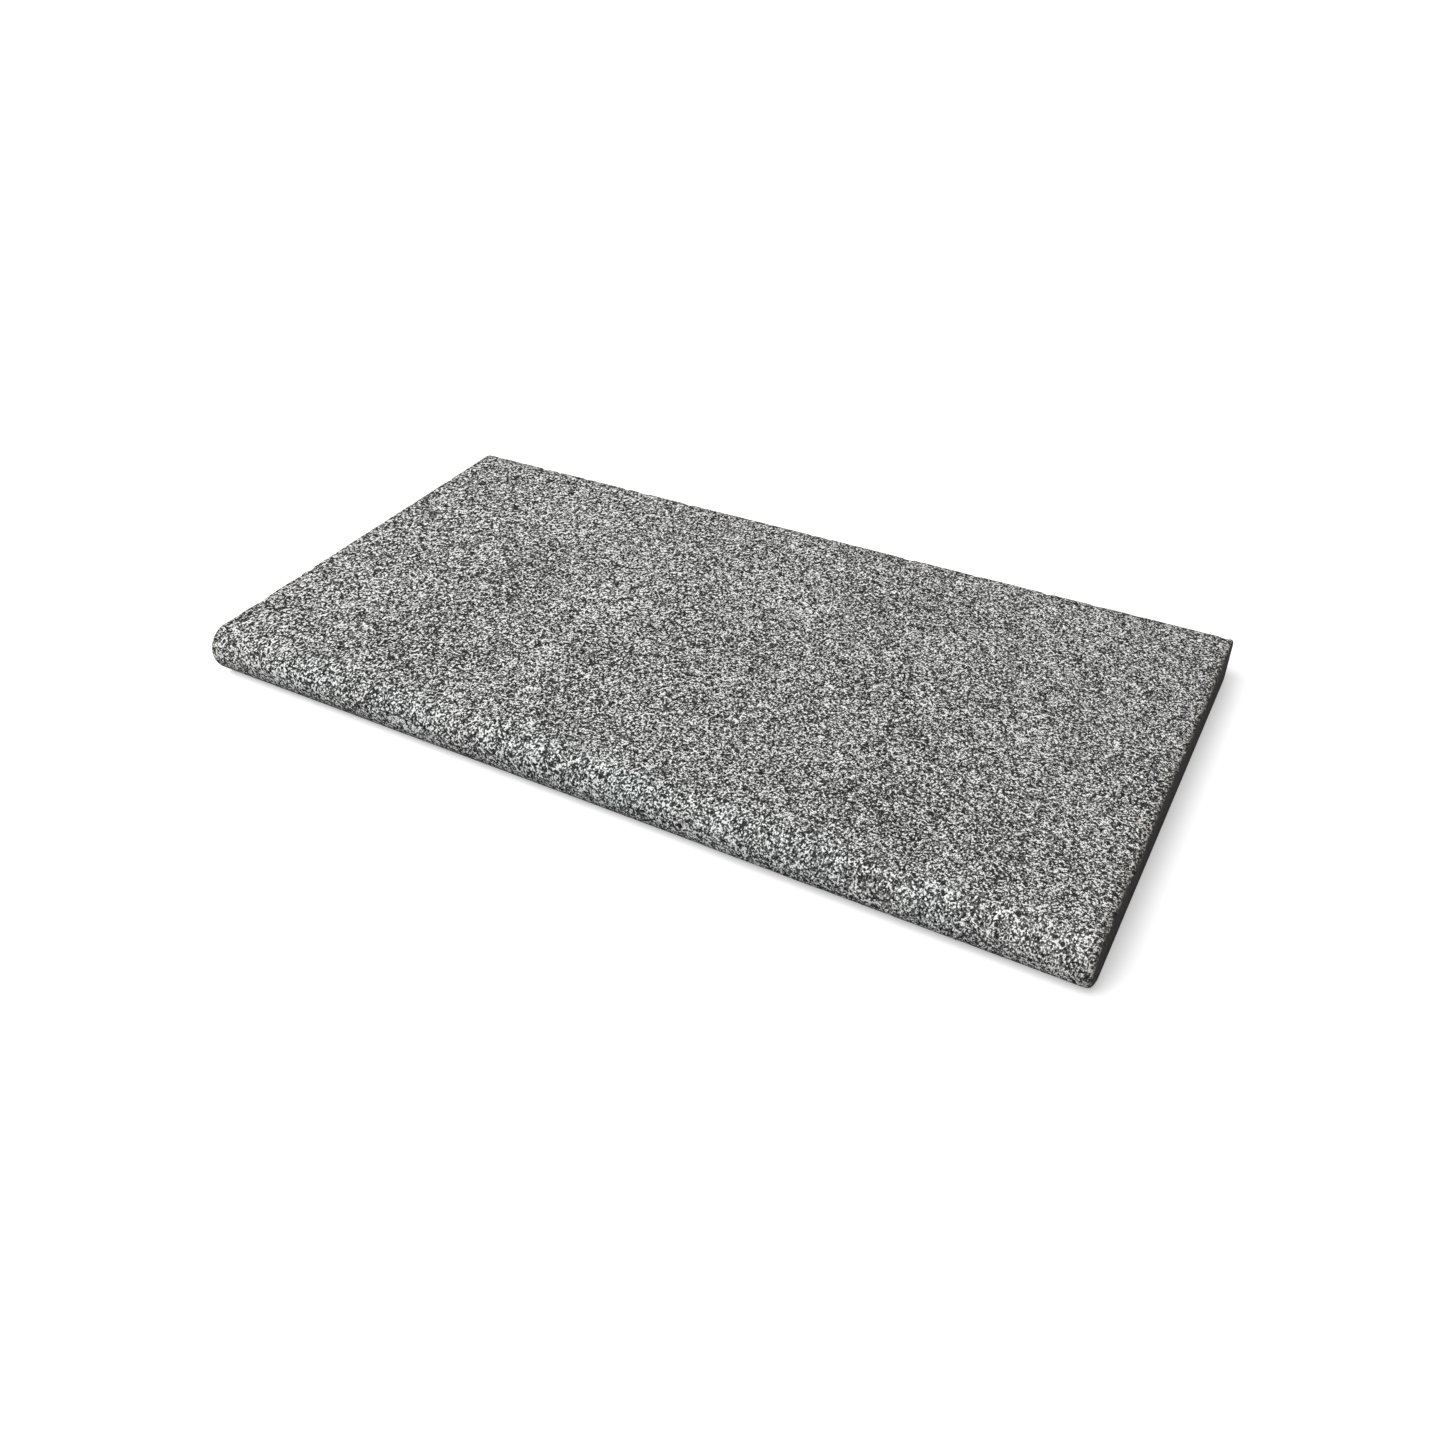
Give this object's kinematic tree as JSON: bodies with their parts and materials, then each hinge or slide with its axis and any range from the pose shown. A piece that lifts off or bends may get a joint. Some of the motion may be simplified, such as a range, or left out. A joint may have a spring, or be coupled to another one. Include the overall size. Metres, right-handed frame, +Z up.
{
  "type": "granite slab",
  "caption": "Rectangular granite slab with a rough top and one long edge rounded to a full bullnose, laid flat as a coping, step tread, sill or heavy work base.",
  "frame": {"origin": "middle of the slab's footprint, on the surface that it lies on", "axes": "+X along the slab's length, -Y towards the rounded nose, +Y towards the straight back face, +Z up out of the rough top face"},
  "size_m": [0.6, 0.3, 0.033],
  "materials": {
    "granite": "matte"
  },
  "bodies": {
    "root": {"granite_slab": "granite"}
  },
  "joints": []
}
